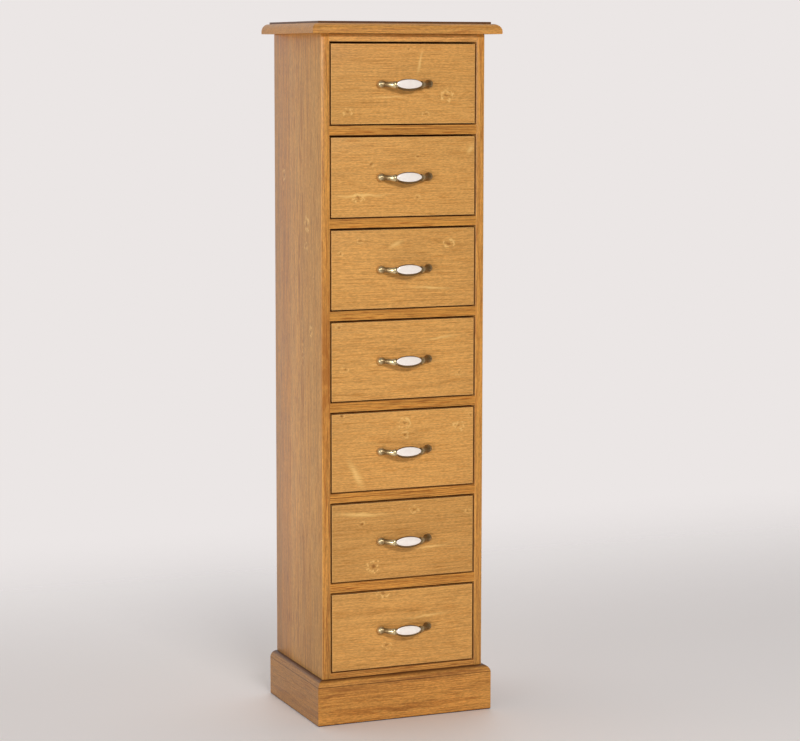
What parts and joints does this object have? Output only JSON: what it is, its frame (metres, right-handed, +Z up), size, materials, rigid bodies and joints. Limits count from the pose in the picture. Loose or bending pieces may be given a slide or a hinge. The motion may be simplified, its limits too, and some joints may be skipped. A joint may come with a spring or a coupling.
{
  "type": "semainier",
  "caption": "Tall narrow chest of stacked drawers in stained pine, with a moulded top, a mitred plinth and brass bow handles with ceramic inserts.",
  "frame": {"origin": "on the floor, under the middle of the whole piece with its handles", "axes": "+Z up, +X to the right as seen from the front, +Y towards the back, and the drawers open towards -Y"},
  "size_m": [0.402, 0.305, 1.4],
  "materials": {
    "stained_pine": "honey stain under satin varnish, carcass and mouldings",
    "stained_pine_front": "honey stain under satin varnish, drawer fronts",
    "plain_pine": "bare planed pine",
    "plywood": "bare thin plywood",
    "aged_brass": "antiqued and lacquered, darker in the hollows",
    "white_ceramic": "gloss glaze"
  },
  "bodies": {
    "carcass": {"top_slab": "stained_pine", "side_panel_left": "stained_pine", "side_panel_right": "stained_pine", "back_panel": "plywood", "top_rail": "stained_pine", "base_rail": "stained_pine", "base_board": "plywood", "divider_rail_1": "stained_pine", "divider_rail_2": "stained_pine", "divider_rail_3": "stained_pine", "divider_rail_4": "stained_pine", "divider_rail_5": "stained_pine", "divider_rail_6": "stained_pine", "dust_panel_1": "plywood", "dust_panel_2": "plywood", "dust_panel_3": "plywood", "dust_panel_4": "plywood", "dust_panel_5": "plywood", "dust_panel_6": "plywood", "plinth_front": "stained_pine", "plinth_left": "stained_pine", "plinth_right": "stained_pine", "glue_block_left": "plain_pine", "glue_block_right": "plain_pine"},
    "drawer_1": {"drawer_front_1": "stained_pine_front", "drawer_box_1": "plain_pine", "drawer_bottom_1": "plywood", "handle_1": "aged_brass", "handle_insert_1": "white_ceramic"},
    "drawer_2": {"drawer_front_2": "stained_pine_front", "drawer_box_2": "plain_pine", "drawer_bottom_2": "plywood", "handle_2": "aged_brass", "handle_insert_2": "white_ceramic"},
    "drawer_3": {"drawer_front_3": "stained_pine_front", "drawer_box_3": "plain_pine", "drawer_bottom_3": "plywood", "handle_3": "aged_brass", "handle_insert_3": "white_ceramic"},
    "drawer_4": {"drawer_front_4": "stained_pine_front", "drawer_box_4": "plain_pine", "drawer_bottom_4": "plywood", "handle_4": "aged_brass", "handle_insert_4": "white_ceramic"},
    "drawer_5": {"drawer_front_5": "stained_pine_front", "drawer_box_5": "plain_pine", "drawer_bottom_5": "plywood", "handle_5": "aged_brass", "handle_insert_5": "white_ceramic"},
    "drawer_6": {"drawer_front_6": "stained_pine_front", "drawer_box_6": "plain_pine", "drawer_bottom_6": "plywood", "handle_6": "aged_brass", "handle_insert_6": "white_ceramic"},
    "drawer_7": {"drawer_front_7": "stained_pine_front", "drawer_box_7": "plain_pine", "drawer_bottom_7": "plywood", "handle_7": "aged_brass", "handle_insert_7": "white_ceramic"}
  },
  "joints": [
    {"name": "drawer_1_slide", "type": "slide", "parent": "carcass", "child": "drawer_1", "axis": [0, -1, 0], "range_m": [0, 0.19]},
    {"name": "drawer_2_slide", "type": "slide", "parent": "carcass", "child": "drawer_2", "axis": [0, -1, 0], "range_m": [0, 0.19]},
    {"name": "drawer_3_slide", "type": "slide", "parent": "carcass", "child": "drawer_3", "axis": [0, -1, 0], "range_m": [0, 0.19]},
    {"name": "drawer_4_slide", "type": "slide", "parent": "carcass", "child": "drawer_4", "axis": [0, -1, 0], "range_m": [0, 0.19]},
    {"name": "drawer_5_slide", "type": "slide", "parent": "carcass", "child": "drawer_5", "axis": [0, -1, 0], "range_m": [0, 0.19]},
    {"name": "drawer_6_slide", "type": "slide", "parent": "carcass", "child": "drawer_6", "axis": [0, -1, 0], "range_m": [0, 0.19]},
    {"name": "drawer_7_slide", "type": "slide", "parent": "carcass", "child": "drawer_7", "axis": [0, -1, 0], "range_m": [0, 0.19]}
  ]
}
